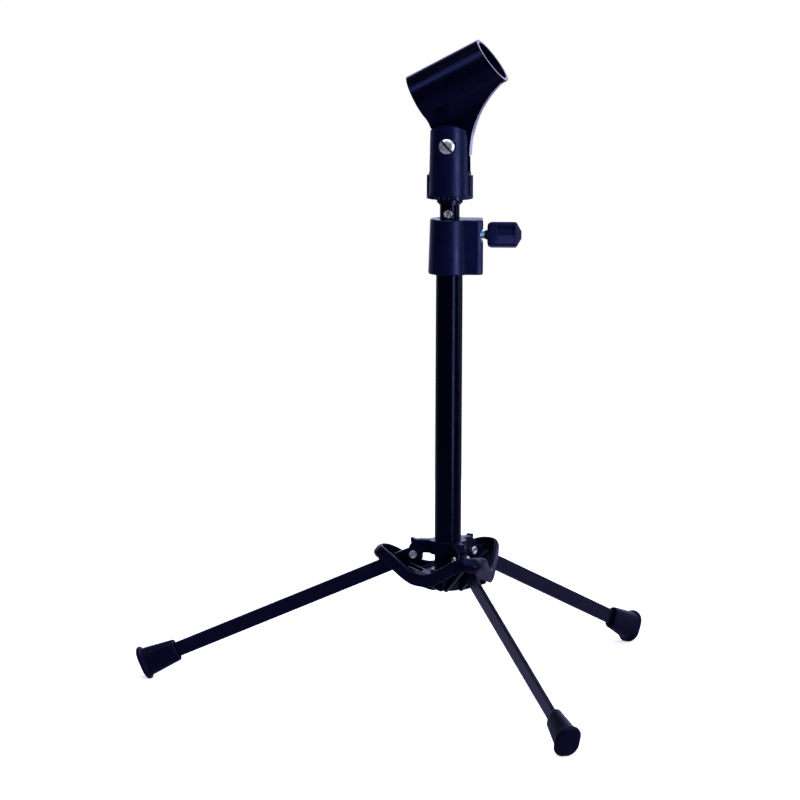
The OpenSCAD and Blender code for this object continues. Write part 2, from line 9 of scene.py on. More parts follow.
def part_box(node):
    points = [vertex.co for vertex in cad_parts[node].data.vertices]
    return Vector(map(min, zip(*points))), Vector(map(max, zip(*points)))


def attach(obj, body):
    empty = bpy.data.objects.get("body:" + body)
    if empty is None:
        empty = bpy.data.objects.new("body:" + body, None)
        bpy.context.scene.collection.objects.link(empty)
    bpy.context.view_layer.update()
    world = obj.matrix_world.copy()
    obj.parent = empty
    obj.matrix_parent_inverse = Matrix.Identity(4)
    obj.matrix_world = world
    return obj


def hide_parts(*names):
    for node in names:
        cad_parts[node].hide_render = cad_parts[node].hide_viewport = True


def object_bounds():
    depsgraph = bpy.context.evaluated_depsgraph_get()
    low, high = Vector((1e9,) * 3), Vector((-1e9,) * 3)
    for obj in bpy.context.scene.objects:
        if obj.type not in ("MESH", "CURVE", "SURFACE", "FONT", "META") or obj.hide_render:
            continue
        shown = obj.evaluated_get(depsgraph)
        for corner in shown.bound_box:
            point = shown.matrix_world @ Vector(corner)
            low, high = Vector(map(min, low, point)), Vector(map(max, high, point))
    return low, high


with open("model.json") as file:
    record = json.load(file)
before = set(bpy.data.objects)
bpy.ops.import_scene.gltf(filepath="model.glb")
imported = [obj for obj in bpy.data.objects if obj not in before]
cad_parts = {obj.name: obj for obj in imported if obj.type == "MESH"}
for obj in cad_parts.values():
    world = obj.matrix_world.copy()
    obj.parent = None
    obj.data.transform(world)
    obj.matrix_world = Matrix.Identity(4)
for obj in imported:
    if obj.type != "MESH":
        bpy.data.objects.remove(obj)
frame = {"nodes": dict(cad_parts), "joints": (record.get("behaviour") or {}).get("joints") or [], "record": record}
cad_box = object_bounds()

NODES = frame["nodes"]
JOINTS = {joint["name"]: joint for joint in frame["joints"]}
MM = 0.001
# gap in millimetres below which two points are one
WELD_GAP = 0.002
UP = Vector((0, 0, 1))
ON_MAST = Matrix.Identity(4)


# ---- camera, light and floor ----

EYE = (0, -2.569, 0.5751)
LENS = 194
SIDE_SHIFT = -0.0608
LOOK_DOWN = 8.78
ROLL = 0.34


def make_camera():
    """Long lens a little higher than the stand, looking slightly down at all of it."""
    data = bpy.data.cameras.new("camera")
    data.sensor_width = 36
    data.lens = LENS
    data.shift_x = SIDE_SHIFT
    data.clip_end = 20
    camera = bpy.data.objects.new("camera", data)
    level = Matrix.Rotation(math.radians(90 - LOOK_DOWN), 4, "X")
    camera.matrix_world = Matrix.Translation(EYE) @ level @ Matrix.Rotation(math.radians(ROLL), 4, "Z")
    bpy.context.scene.collection.objects.link(camera)
    bpy.context.scene.camera = camera


def softbox(name, around, above, distance, size, radiance, colour=(1, 1, 1)):
    """Area light of size (width, height) that faces the middle of the stand.

    Seen from there it stands around degrees to the right of the camera, and above the horizon."""
    data = bpy.data.lights.new(name, "AREA")
    data.shape = "RECTANGLE"
    data.size, data.size_y = size
    data.energy = radiance * math.pi * size[0] * size[1]
    data.color = colour
    light = bpy.data.objects.new(name, data)
    middle = (cad_box[0] + cad_box[1]) / 2
    turn, rise = math.radians(around), math.radians(above)
    out = Vector((math.sin(turn) * math.cos(rise), -math.cos(turn) * math.cos(rise), math.sin(rise)))
    facing = (-out).to_track_quat("-Z", "Y").to_matrix().to_4x4()
    light.matrix_world = Matrix.Translation(middle + distance * out) @ facing
    bpy.context.scene.collection.objects.link(light)


def show_by_ray(tree, seen, thrown, surface):
    """Shows the camera one shader and lights the stand with another."""
    ray = tree.nodes.new("ShaderNodeLightPath")
    choose = tree.nodes.new("ShaderNodeMixShader")
    tree.links.new(ray.outputs["Is Camera Ray"], choose.inputs[0])
    tree.links.new(thrown.outputs[0], choose.inputs[1])
    tree.links.new(seen.outputs[0], choose.inputs[2])
    tree.links.new(choose.outputs[0], surface)


def make_world():
    """White paper to the eye, though it throws only a little cool light."""
    scene = bpy.context.scene
    scene.view_settings.view_transform = "Standard"
    world = bpy.data.worlds.new("studio")
    scene.world = world
    world.use_nodes = True
    tree = world.node_tree
    paper = tree.nodes["Background"]
    paper.inputs["Color"].default_value = (1, 1, 1, 1)
    dim = tree.nodes.new("ShaderNodeBackground")
    dim.inputs["Color"].default_value = (0.75, 0.82, 1, 1)
    dim.inputs["Strength"].default_value = 0.06
    show_by_ray(tree, paper, dim, tree.nodes["World Output"].inputs["Surface"])


def make_studio():
    """Soft light from above and in front, brightest at the front right, and boxes behind for the edges."""
    make_world()
    cool = (0.9, 0.93, 1.0)
    lavender = (0.62, 0.62, 1.0)
    sky = (0.6, 0.65, 1.0)
    softbox("overhead", 20, 80, 1.9, (2.2, 2.2), 1.6, cool)
    softbox("key", 41, 2, 1.6, (0.42, 0.9), 17, cool)
    softbox("side", 93, 10, 1.5, (0.22, 0.9), 8, lavender)
    softbox("upper_left", -42, 49, 1.5, (0.7, 0.7), 5, sky)
    softbox("upper_front", 8, 44, 1.6, (0.7, 0.45), 7, lavender)
    softbox("rear_right", 118, 6, 1.5, (0.4, 1.3), 1.3, lavender)
    softbox("rear_left", -125, 4, 1.5, (0.4, 1.3), 0.8, lavender)
    softbox("rear_high", 131, 38, 1.5, (0.6, 0.5), 12, lavender)
    softbox("sweep", 180, 12, 1.6, (2.4, 1.0), 2.2, lavender)


def make_floor():
    """Pale paper sheet. The eye sees it white, and it throws a little violet light up at the stand."""
    bpy.ops.mesh.primitive_circle_add(vertices=96, radius=0.75, fill_type="NGON")
    floor = bpy.context.object
    floor.name = "floor"
    material = bpy.data.materials.new("floor_paper")
    material.use_nodes = True
    tree = material.node_tree
    paper = tree.nodes["Principled BSDF"]
    paper.inputs["Base Color"].default_value = (0.93, 0.93, 0.93, 1)
    paper.inputs["Roughness"].default_value = 0.9
    paper.inputs["Specular IOR Level"].default_value = 0.1
    paper.inputs["Emission Color"].default_value = (1, 1, 1, 1)
    paper.inputs["Emission Strength"].default_value = 0.5
    glow = tree.nodes.new("ShaderNodeEmission")
    glow.inputs["Color"].default_value = (0.52, 0.47, 0.85, 1)
    glow.inputs["Strength"].default_value = 0.62
    show_by_ray(tree, paper, glow, tree.nodes["Material Output"].inputs["Surface"])
    floor.data.materials.append(material)


# ---- materials ----

class Shader:
    """Small builder for a node material in the object's own coordinates."""

    def __init__(self, name):
        self.material = bpy.data.materials.new(name)
        self.material.use_nodes = True
        self.tree = self.material.node_tree
        self.surface = self.tree.nodes["Principled BSDF"]
        self.place = self.tree.nodes.new("ShaderNodeTexCoord").outputs["Object"]

    def node(self, kind, **settings):
        made = self.tree.nodes.new(kind)
        for key, value in settings.items():
            setattr(made, key, value)
        return made

    def join(self, output, socket):
        self.tree.links.new(output, socket)

    def noise(self, scale, detail=3, stretch=None):
        """Noise of that many features to the metre, from 0 to 1."""
        made = self.node("ShaderNodeTexNoise")
        made.inputs["Scale"].default_value = scale
        made.inputs["Detail"].default_value = detail
        place = self.place
        if stretch:
            scaled = self.node("ShaderNodeVectorMath", operation="MULTIPLY")
            self.join(place, scaled.inputs[0])
            scaled.inputs[1].default_value = stretch
            place = scaled.outputs[0]
        self.join(place, made.inputs["Vector"])
        return made.outputs["Fac"]

    def ramp(self, value, low, high, start, end):
        """Maps value from low..high to start..end."""
        made = self.node("ShaderNodeMapRange")
        self.join(value, made.inputs["Value"])
        for key, number in (("From Min", low), ("From Max", high), ("To Min", start), ("To Max", end)):
            made.inputs[key].default_value = number
        return made.outputs["Result"]

    def mix(self, factor, first, second):
        made = self.node("ShaderNodeMix", data_type="RGBA")
        self.join(factor, made.inputs["Factor"])
        for value, socket in ((first, made.inputs[6]), (second, made.inputs[7])):
            if isinstance(value, bpy.types.NodeSocket):
                self.join(value, socket)
            else:
                socket.default_value = (*value, 1)
        return made.outputs[2]

    def edges(self, radius, low, high):
        """1 on the outer edges of the shape, within radius, and 0 on its faces."""
        rounded = self.node("ShaderNodeBevel", samples=6)
        rounded.inputs["Radius"].default_value = radius
        plain = self.node("ShaderNodeNewGeometry")
        compare = self.node("ShaderNodeVectorMath", operation="DOT_PRODUCT")
        self.join(rounded.outputs["Normal"], compare.inputs[0])
        self.join(plain.outputs["Normal"], compare.inputs[1])
        return self.ramp(compare.outputs["Value"], low, high, 1, 0)

    def painted_recess_shade(self, reach):
        """Mask of painted shade: 1 deep in a slot or corner narrower than reach, and 0 in the open."""
        made = self.node("ShaderNodeAmbientOcclusion", samples=8, only_local=True)
        made.inputs["Distance"].default_value = reach
        return self.ramp(made.outputs["AO"], 0.45, 0.85, 1, 0)

    def multiply(self, first, second):
        made = self.node("ShaderNodeMath", operation="MULTIPLY", use_clamp=True)
        self.join(first, made.inputs[0])
        self.join(second, made.inputs[1])
        return made.outputs[0]

    def bump(self, height, strength, distance, under=None):
        made = self.node("ShaderNodeBump")
        made.inputs["Strength"].default_value = strength
        made.inputs["Distance"].default_value = distance
        self.join(height, made.inputs["Height"])
        if under:
            self.join(under, made.inputs["Normal"])
        return made.outputs["Normal"]

    def finish(self, colour, roughness, normal=None, **constants):
        self.join(colour, self.surface.inputs["Base Color"])
        self.join(roughness, self.surface.inputs["Roughness"])
        if normal:
            self.join(normal, self.surface.inputs["Normal"])
        for key, value in constants.items():
            self.surface.inputs[key.replace("_", " ")].default_value = value
        return self.material


def scaled(colour, factor):
    return tuple(channel * factor for channel in colour)


def moulded(name, colour, roughness, tint=(1, 1, 1), gloss=0.3):
    """Injection-moulded plastic: fine spark-eroded grain, faint flow marks, rubbed edges."""
    shader = Shader(name)
    cloud = shader.noise(45, 4)
    base = shader.mix(shader.ramp(cloud, 0.35, 0.65, 0, 1), scaled(colour, 0.8), scaled(colour, 1.25))
    patches = shader.ramp(shader.noise(260, 3), 0.42, 0.6, 0, 1)
    rubbed = shader.multiply(shader.edges(0.0006, 0.86, 0.995), patches)
    worn = shader.mix(rubbed, base, scaled(colour, 2.6))
    rough = shader.ramp(shader.noise(90, 5), 0.3, 0.7, roughness - 0.05, roughness + 0.07)
    fine = shader.bump(shader.noise(2600, 2), 0.35, 0.00003)
    wavy = shader.bump(shader.noise(120, 2), 0.12, 0.0002, fine)
    return shader.finish(worn, rough, wavy, Specular_IOR_Level=gloss, Specular_Tint=(*tint, 1))


def powder_coat(name, colour, roughness, tint, gloss=0.25):
    """Satin powder coat on steel: orange-peel surface, coat worn thin on the edges."""
    shader = Shader(name)
    cloud = shader.noise(60, 3)
    base = shader.mix(shader.ramp(cloud, 0.35, 0.65, 0, 1), scaled(colour, 0.8), scaled(colour, 1.2))
    patches = shader.ramp(shader.noise(500, 3), 0.5, 0.62, 0, 1)
    rubbed = shader.multiply(shader.edges(0.0004, 0.88, 0.99), patches)
    bare_steel = (0.05, 0.05, 0.065)
    worn = shader.mix(rubbed, base, bare_steel)
    rough = shader.ramp(shader.noise(150, 5), 0.3, 0.7, roughness - 0.05, roughness + 0.08)
    peel = shader.bump(shader.noise(900, 2), 0.25, 0.00006)
    return shader.finish(worn, rough, peel, Specular_IOR_Level=gloss, Specular_Tint=(*tint, 1))


def rubber(name, colour, roughness, tint):
    """Matt rubber: coarse grain, pale dust in places."""
    shader = Shader(name)
    dust = shader.ramp(shader.noise(140, 6), 0.52, 0.75, 0, 1)
    base = shader.mix(dust, colour, scaled(colour, 2.2))
    rough = shader.ramp(shader.noise(200, 4), 0.3, 0.7, roughness - 0.06, roughness + 0.08)
    grain = shader.bump(shader.noise(1800, 3), 0.5, 0.00005)
    return shader.finish(base, rough, grain, Specular_IOR_Level=0.14, Specular_Tint=(*tint, 1))


def plated(name, colour, roughness, marks=900):
    """Plated or turned metal: fine scratches, a little tarnish in patches, and painted shade that darkens slots
    and narrow recesses.
    """
    shader = Shader(name)
    tarnish = shader.ramp(shader.noise(300, 4), 0.45, 0.7, 0, 1)
    bright = shader.mix(tarnish, colour, scaled(colour, 0.72))
    # painted shade: the colour falls to nearly black deep in slots and narrow recesses, where light would not
    # reach
    base = shader.mix(shader.painted_recess_shade(0.002), bright, scaled(colour, 0.04))
    rough = shader.ramp(shader.noise(marks, 5), 0.3, 0.7, roughness - 0.06, roughness + 0.1)
    lines = shader.bump(shader.noise(marks, 2, (1, 1, 6)), 0.12, 0.00004)
    return shader.finish(base, rough, lines, Metallic=1.0)


def make_materials():
    colours = {m["slot"]: tuple(m["base_color"]) for m in frame["record"]["materials"]}
    blue_sheen = (0.3, 0.38, 1)
    return {
        "black_steel": powder_coat("black_steel", (0.0012, 0.0012, 0.004), 0.26, blue_sheen),
        "mast_steel": powder_coat("mast_steel", (0.0005, 0.0005, 0.003), 0.16, blue_sheen, 0.08),
        "black_plastic": moulded("black_plastic", (0.0012, 0.002, 0.014), 0.36, blue_sheen, 0.24),
        "hub_plastic": moulded("hub_plastic", (0.0006, 0.0007, 0.006), 0.34, blue_sheen, 0.14),
        "clip_plastic": moulded("clip_plastic", (0.0005, 0.0005, 0.004), 0.2, blue_sheen, 0.16),
        "black_rubber": rubber("black_rubber", (0.001, 0.001, 0.005), 0.5, blue_sheen),
        "dark_nylon": moulded("dark_nylon", colours["dark_nylon"], 0.5),
        "white_nylon": moulded("white_nylon", (0.75, 0.75, 0.72), 0.4),
        "blue_thread": plated("blue_thread", (0.4, 0.68, 1.0), 0.45),
        "nickel": plated("nickel", (0.82, 0.8, 0.78), 0.36),
        "zinc_steel": plated("zinc_steel", (0.6, 0.61, 0.66), 0.32),
        "black_oxide": plated("black_oxide", (0.05, 0.05, 0.055), 0.4),
        "brass": plated("brass", (0.75, 0.55, 0.26), 0.28),
    }


# ---- mesh helpers ----

def smooth(t):
    t = min(1, max(0, t))
    return t * t * (3 - 2 * t)


def turned(angle):
    return Matrix.Rotation(math.radians(angle), 4, "Z")


def pivot_of(joint):
    """A joint's place in millimetres."""
    return Vector(JOINTS[joint]["pos_m"]) / MM


def out_of(point, direction):
    """Frame at a point, in millimetres, with its Z axis along direction."""
    return Matrix.Translation(point) @ Vector(direction).to_track_quat("Z", "Y").to_matrix().to_4x4()


def rounded(corners, steps=3):
    """Closed outline with its corners rounded. Each corner is a point and the length it gives up.

    A corner takes at most the share most of each edge beside it."""
    most = 0.48
    points = []
    for i, (corner, cut) in enumerate(corners):
        here = Vector(corner)
        before = Vector(corners[i - 1][0])
        after = Vector(corners[(i + 1) % len(corners)][0])
        if cut == 0:
            points.append(here)
            continue
        start = here + (before - here).normalized() * min(cut, (before - here).length * most)
        end = here + (after - here).normalized() * min(cut, (after - here).length * most)
        for k in range(steps + 1):
            t = k / steps
            points.append((1 - t) ** 2 * start + 2 * t * (1 - t) * here + t * t * end)
    return points


def loft(mesh, rings, around=False):
    """Skin over rings of equal length. It closes on itself if around, and has end caps if not."""
    rows = [[mesh.verts.new(point) for point in ring] for ring in rings]
    count = len(rows[0])
    pairs = list(zip(rows, rows[1:])) + ([(rows[-1], rows[0])] if around else [])
    for first, second in pairs:
        for j in range(count):
            k = (j + 1) % count
            mesh.faces.new((first[j], first[k], second[k], second[j]))
    if not around:
        mesh.faces.new(reversed(rows[0]))
        mesh.faces.new(rows[-1])


def prism(mesh, outline, low, high, place):
    """Plate with an outline in X and Z, from Y = low to Y = high, put in place."""
    rings = [[place @ Vector((x, y, z)) for x, z in outline] for y in (low, high)]
    loft(mesh, rings)


def lathe(mesh, profile, place, steps=48):
    """Solid of revolution about Z from a profile of (radius, height) that starts and ends off the axis."""
    rings = []
    for radius, height in profile:
        turn = [2 * math.pi * k / steps for k in range(steps)]
        rings.append([place @ Vector((radius * math.cos(t), radius * math.sin(t), height)) for t in turn])
    loft(mesh, rings)


def as_object(name, mesh):
    """Object from a bmesh in millimetres."""
    bmesh.ops.scale(mesh, vec=(MM, MM, MM), verts=mesh.verts)
    bmesh.ops.recalc_face_normals(mesh, faces=mesh.faces)
    data = bpy.data.meshes.new(name)
    mesh.to_mesh(data)
    mesh.free()
    obj = bpy.data.objects.new(name, data)
    bpy.context.scene.collection.objects.link(obj)
    return obj


def carve(obj, cutter, operation="DIFFERENCE"):
    """Cuts or adds another object's shape and leaves one plain mesh."""
    step = obj.modifiers.new("carve", "BOOLEAN")
    step.operation = operation
    step.solver = "EXACT"
    step.use_self = True
    step.object = cutter
    bpy.context.view_layer.update()
    done = bpy.data.meshes.new_from_object(obj.evaluated_get(bpy.context.evaluated_depsgraph_get()))
    obj.modifiers.clear()
    obj.data = done
    bpy.data.objects.remove(cutter)
    if done.has_custom_normals:
        done.attributes.remove(done.attributes["custom_normal"])
    mesh = bmesh.new()
    mesh.from_mesh(done)
    bmesh.ops.remove_doubles(mesh, verts=mesh.verts, dist=WELD_GAP * MM)
    bmesh.ops.dissolve_degenerate(mesh, edges=mesh.edges, dist=WELD_GAP * MM)
    mesh.to_mesh(done)
    mesh.free()


def shade_smooth(obj):
    for face in obj.data.polygons:
        face.use_smooth = True


def crease(obj, angle=20):
    """Smooth shading that stops at the edges of flat faces."""
    shade_smooth(obj)
    obj.data.set_sharp_from_angle(angle=math.radians(angle))


def soften(obj, width, segments=2, angle=28):
    """Rounds the outer edges and shades the curved faces smoothly."""
    shade_smooth(obj)
    bevel = obj.modifiers.new("bevel", "BEVEL")
    bevel.width = width * MM
    bevel.segments = segments
    bevel.limit_method = "ANGLE"
    bevel.angle_limit = math.radians(angle)
    bevel.harden_normals = True
    normals = obj.modifiers.new("normals", "WEIGHTED_NORMAL")
    normals.keep_sharp = True


def place_piece(obj, slot, body, *nodes):
    """Gives a piece its finish and its body, and lets it stand for CAD nodes."""
    obj.data.materials.clear()
    obj.data.materials.append(materials[FINISH.get(obj.name, slot)])
    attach(obj, body)
    if nodes:
        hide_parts(*nodes)


# ---- CAD nodes ----

# how far the edges of a node are rounded, in millimetres
EDGE = {"clip_yoke": 0.5, "mic_clip": 0.45, "leg_left": 0.35, "leg_front": 0.35, "leg_right": 0.35}
SMALL_EDGE = 0.12
# nodes and pieces whose finish isn't the one named by their material slot
FINISH = {"outer_tube": "mast_steel", "inner_tube": "mast_steel", "mast_stud": "mast_steel",
          "leg_forks": "hub_plastic", "leg_collar_ring": "hub_plastic", "spider_band": "hub_plastic",
          "spider_walls": "hub_plastic", "spider_hub": "hub_plastic"}


def dress_nodes():
    """Gives every CAD node its finish, and rounds its edges without touching its mesh."""
    for part in frame["record"]["subparts"]:
        node = NODES[part["node"]]
        node.data.materials.clear()
        node.data.materials.append(materials[FINISH.get(part["node"], part["material_slot"])])
        weld = node.modifiers.new("weld", "WELD")
        weld.merge_threshold = WELD_GAP * MM
        flat = node.modifiers.new("flat", "DECIMATE")
        flat.decimate_type = "DISSOLVE"
        flat.angle_limit = math.radians(0.4)
        soften(node, EDGE.get(part["node"], SMALL_EDGE))


# ---- legs ----

SIDES = ("left", "front", "right")
# fall of an opened leg, in degrees
LEG_SLOPE = 23.9
BAR_HALF_HEIGHT = 4.5


def leg_turn(side):
    """Direction of a leg about the mast, in degrees, from its pivot."""
    x, y, _ = JOINTS[side + "_leg_fold"]["pos_m"]
    return math.degrees(math.atan2(y, x))


def along_leg(side):
    """Frame at a leg's pivot, with X along the opened leg, in millimetres."""
    slope = Matrix.Rotation(math.radians(LEG_SLOPE), 4, "Y")
    return Matrix.Translation(pivot_of(side + "_leg_fold")) @ turned(leg_turn(side)) @ slope


def furthest(node, place):
    """How far a node reaches along the X axis of a frame in millimetres."""
    back = place.inverted()
    return max((back @ (v.co / MM)).x for v in NODES[node].data.vertices)


def oblong(half_w, half_h, steps=10):
    """Outline with round ends, in Y and Z."""
    points = []
    for end in (1, -1):
        for k in range(steps + 1):
            t = math.pi * k / steps
            points.append((end * half_w * math.cos(t), end * (half_h - half_w + half_w * math.sin(t))))
    return points


# a foot from its mouth to its end face: distance from the end, half width, half height
FOOT_SHAPE = [(21.5, 2.4, 5.6), (22, 2.2, 5.4), (23.9, 2.3, 5.5), (24.3, 3.1, 6.0), (24.2, 3.7, 6.5),
              (23.6, 4.05, 6.85), (20, 4.5, 7.2), (14, 5.25, 7.9), (8, 5.95, 8.55), (4.6, 6.3, 8.85),
              (3.6, 6.45, 9.0), (3.15, 6.9, 9.6), (2.85, 7.5, 10.3), (2.2, 7.8, 10.6), (1.4, 7.75, 10.55),
              (0.7, 7.35, 10.15), (0.25, 6.6, 9.4), (0.04, 5.4, 8.2), (0, 3.4, 6.2)]


def make_feet():
    """Rubber foot on the end of each leg, flat where it meets the table."""
    for side in SIDES:
        place = along_leg(side)
        end = furthest("foot_" + side, place)
        rings = [[place @ Vector((end - back, y, z)) for y, z in oblong(half_w, half_h)]
                 for back, half_w, half_h in FOOT_SHAPE]
        for ring in rings:
            for point in ring:
                point.z = max(point.z, 0)
        mesh = bmesh.new()
        loft(mesh, rings)
        foot = as_object("rubber_foot_" + side, mesh)
        shade_smooth(foot)
        place_piece(foot, "black_rubber", side + "_leg", "foot_" + side)


# ---- leg collar, in millimetres ----

COLLAR_R = 11.3
# play between a moulding and the tube in it
TUBE_PLAY = 0.05
ARM_HALF_W = 3.5
ARM_END = 22.6
ARM_EDGE = 1.7
FORK_HALF_W = 1.45
CHEEK_R = 5.2
# reach of a bar's end about its pivot, with room to swing
SWING_R = 5
# how far the lip at the end of an arm's roof stands up
LIP_RISE = 0.6
ROOF_T = 3
ROOF_WIDER = 0.5


def make_collar():
    """Ring on the mast with an arm for each leg. The arm is forked, and its roof ends in a small lip."""
    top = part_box("leg_collar")[1].z / MM - LIP_RISE
    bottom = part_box("collar_set_screws")[0].z / MM - 2.6
    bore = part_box("outer_tube")[1].x / MM + TUBE_PLAY
    arm_start = bore + 1
    roof_start = arm_start + 1
    lip = top + LIP_RISE
    arms, roofs, slots = bmesh.new(), bmesh.new(), bmesh.new()
    for side in SIDES:
        place = turned(leg_turn(side))
        pivot = pivot_of(side + "_leg_fold")
        reach = pivot.xy.length
        cheek_in, cheek_out = reach - CHEEK_R, reach + CHEEK_R
        low = pivot.z - CHEEK_R
        arm = rounded([((arm_start, top), 0), ((ARM_END - 0.4, top), 6), ((cheek_out, low), CHEEK_R),
                       ((cheek_in, low), CHEEK_R), ((cheek_in, bottom), 1.5), ((arm_start, bottom), 0)], 7)
        prism(arms, arm, -ARM_HALF_W, ARM_HALF_W, place)
        roof = rounded([((roof_start, top - 0.2), 0), ((ARM_END - 2.2, top - 0.2), 0.8),
                        ((ARM_END - 1.4, lip), 0.3), ((ARM_END, lip), 0.4),
                        ((ARM_END - 0.3, top - 2.6), 0.5), ((roof_start, top - ROOF_T), 0)])
        prism(roofs, roof, -FORK_HALF_W - ROOF_WIDER, FORK_HALF_W + ROOF_WIDER, place)
        slot_in, slot_out = reach - SWING_R, ARM_END + 5
        slot_low, slot_top = low - 5, pivot.z + SWING_R
        slot = rounded([((slot_in, slot_low), 0), ((slot_in, slot_top), 4), ((slot_out, slot_top), 0),
                        ((slot_out, slot_low), 0)], 6)
        prism(slots, slot, -FORK_HALF_W, FORK_HALF_W, place)
    forks = as_object("leg_forks", arms)
    soften(forks, ARM_EDGE, 6)
    carve(forks, as_object("roofs", roofs), "UNION")
    carve(forks, as_object("slots", slots))
    crease(forks)
    soften(forks, 0.15)
    place_piece(forks, "black_plastic", "stand", "leg_collar")
    mesh = bmesh.new()
    lathe(mesh, [(bore, bottom), (COLLAR_R, bottom), (COLLAR_R, top), (bore, top)], ON_MAST, 96)
    ring = as_object("leg_collar_ring", mesh)
    soften(ring, 0.5, 3)
    place_piece(ring, "black_plastic", "stand")


# ---- clamp and knob, in millimetres ----

# how much narrower the clamp is at its top
CLAMP_TAPER = 1
# radius of the hidden core that the bore cuts away
CORE_R = 0.5
SLIDER_PLAY = 0.3
BOSS_HALF_W = 8.7
BOSS_FACE_HALF_W = 7.4
BOSS_CHAMFER = 3.1
# the boss ends this far inside the clamp's top and bottom faces
BOSS_INSET = 0.04
NOTCH_R = 5
NOTCH_DEPTH = 2.1
NOTCH_STEPS = 48
INSERT_START = 9


def make_clamp():
    """Tapered collar on the mast with a boss for the clamp screw, whose outer edges are chamfered."""
    low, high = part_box("clamp_collar")
    bottom, top, face = low.z / MM, high.z / MM, high.x / MM
    outer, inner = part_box("outer_tube")[1] / MM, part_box("inner_tube")[1] / MM
    radius = -low.x / MM
    screw_low, screw_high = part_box("knob_screw")
    screw_z = (screw_low.z + screw_high.z) / 2 / MM
    mesh = bmesh.new()
    barrel = [(CORE_R, bottom), (radius, bottom), (radius - CLAMP_TAPER, top), (CORE_R, top)]
    lathe(mesh, barrel, ON_MAST, 128)
    collar = as_object("barrel", mesh)
    soften(collar, 0.9, 4)

    shoulder = face - BOSS_CHAMFER
    plan = [(0, -BOSS_HALF_W), (shoulder, -BOSS_HALF_W), (face, -BOSS_FACE_HALF_W),
            (face, BOSS_FACE_HALF_W), (shoulder, BOSS_HALF_W), (0, BOSS_HALF_W)]
    levels = (bottom + BOSS_INSET, top - BOSS_INSET)
    mesh = bmesh.new()
    loft(mesh, [[Vector((x, y, z)) for x, y in plan] for z in levels])
    clamp = as_object("clamp_body", mesh)
    soften(clamp, 1.1, 4, 50)
    carve(clamp, collar, "UNION")

    wide, narrow = outer.x + TUBE_PLAY, inner.x + SLIDER_PLAY
    mesh = bmesh.new()
    lathe(mesh, [(CORE_R, bottom - 1), (wide, bottom - 1), (wide, outer.z), (narrow, outer.z),
                 (narrow, top + 1), (CORE_R, top + 1)], ON_MAST, 96)
    carve(clamp, as_object("bore", mesh))

    middle = face + NOTCH_R - NOTCH_DEPTH
    turn = [2 * math.pi * k / NOTCH_STEPS for k in range(NOTCH_STEPS)]
    notch = [(middle + NOTCH_R * math.cos(t), screw_z + NOTCH_R * math.sin(t)) for t in turn]
    mesh = bmesh.new()
    prism(mesh, notch, -2 * BOSS_HALF_W, 2 * BOSS_HALF_W, ON_MAST)
    carve(clamp, as_object("notch", mesh))

    insert_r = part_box("clamp_insert")[1].y / MM
    mesh = bmesh.new()
    lathe(mesh, [(insert_r, INSERT_START), (insert_r, face + 1)], out_of(Vector((0, 0, screw_z)), (1, 0, 0)))
    carve(clamp, as_object("insert_hole", mesh))
    crease(clamp)
    soften(clamp, 0.12, 2, 35)
    place_piece(clamp, "black_plastic", "stand", "clamp_collar")


# the knob along the screw: distance from the handle's start, half width, half height, corner
KNOB_SHAPE = [(-1.9, 2.1, 2.1, 2), (-1.7, 2.7, 2.7, 2), (-0.5, 2.8, 2.8, 2), (-0.35, 4.6, 5.1, 2.6),
              (0, 5.5, 6.3, 2.2), (0.9, 6.1, 7.0, 1.5), (2.4, 6.4, 7.3, 1.3), (16.2, 6.4, 7.3, 1.3),
              (16.9, 6.2, 7.1, 1.4), (17.4, 5.8, 6.7, 1.6), (19.0, 3.5, 4.0, 1.4), (19.4, 2.9, 3.2, 1.2),
              (19.9, 2.6, 2.8, 1.4), (20.1, 2.0, 2.1, 1.2)]
# the way the knob stands at rest, in degrees about its screw
KNOB_TURN = -12
# section of the front finger recess: across and up from the screw, with the rounding of each corner
RECESS_SHAPE = [((-7.5, 4.4), 0), ((-4.5, 3.9), 0.4), ((-4.5, -0.9), 0.6), ((-6.45, -6.1), 0),
                ((-7.5, -6.3), 0)]
RECESS_START = 5.4
RECESS_END = 15.9


def make_knob():
    """Block handle with a finger recess in its front and back, and a blunt pyramid at its end."""
    low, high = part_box("knob_handle")
    middle = Vector((low.x, 0, (low.z + high.z) / 2)) / MM
    place = Matrix.Translation(middle) @ Matrix.Rotation(math.radians(KNOB_TURN), 4, "X")
    rings = []
    for along, half_w, half_h, corner in KNOB_SHAPE:
        square = [((half_w, half_h), corner), ((-half_w, half_h), corner), ((-half_w, -half_h), corner),
                  ((half_w, -half_h), corner)]
        rings.append([place @ Vector((along, y, z)) for y, z in rounded(square, 5)])
    mesh = bmesh.new()
    loft(mesh, rings)
    knob = as_object("knob_grip", mesh)
    mesh = bmesh.new()
    for flip in (1, -1):
        section = [(flip * y, flip * z) for y, z in rounded(RECESS_SHAPE)]
        ends = (RECESS_START, RECESS_END)
        loft(mesh, [[place @ Vector((along, y, z)) for y, z in section] for along in ends])
    carve(knob, as_object("recesses", mesh))
    crease(knob, 30)
    soften(knob, 0.25, 3, 30)
    place_piece(knob, "black_plastic", "knob", "knob_handle")


# ---- leg spider, in millimetres ----

LOBE_R = 8.9
# distance of a lobe's middle from the mast
LOBE_X = 37.1
BAND_WALL = 2.4
FLOOR_T = 2.3
LIP = 0.8
# how far the band's rim and lower edge lean in over the lobes
RIM_CURL = 3.6
EDGE_CURL = 2.2
SIDE_R = LOBE_X / 2 + LOBE_R
EDGE_LOW = 67.6
HUB_R = 9.4
SLOT_HALF_W = 4
SLOT_START = 15.4
SLOT_END = 50
SLOT_PLAY = 0.25
WEB_T = 1.7
WEB_END = 39.6
RIB_HALF_W = 0.7
RIB_TURNS = (44, 76)
STOP_START = 40.1
STOP_END = 42.1
STOP_HALF_W = 3.2


def rim_z(x):
    """Height of the band's rim, low between the lobes and high over them."""
    return 75 + 13.5 * smooth((x - 13.5) / 30)


